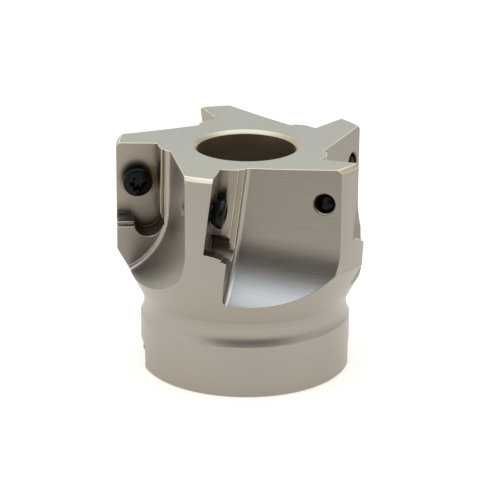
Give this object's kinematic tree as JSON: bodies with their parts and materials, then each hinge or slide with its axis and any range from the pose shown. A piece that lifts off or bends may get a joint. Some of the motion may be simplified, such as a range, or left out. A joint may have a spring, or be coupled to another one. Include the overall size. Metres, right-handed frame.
{
  "type": "face mill",
  "caption": "Indexable square-shoulder face mill body with raked insert pockets, deep chip gullets, insert screws and a key-driven arbor bore, without its inserts.",
  "frame": {"origin": "The part's centre of mass, which lies on the arbor axis, 21.35 mm above the mounting face", "axes": "+Z along the arbor axis, up from the mounting face to the cutting end; +X along the drive key slot, towards the picture's right; +Y away from the camera. The part stands on its mounting face at z = -21.35 mm"},
  "size_m": [0.0474, 0.0482, 0.0437],
  "materials": {
    "nickel_plated_steel": "satin nickel plate over fine milling marks",
    "black_oxide_steel": "black oxide, slightly oiled"
  },
  "bodies": {
    "root": {"cutter_body": "nickel_plated_steel", "insert_screw_1": "black_oxide_steel", "insert_screw_2": "black_oxide_steel", "insert_screw_3": "black_oxide_steel", "insert_screw_4": "black_oxide_steel", "insert_screw_5": "black_oxide_steel"}
  },
  "joints": []
}
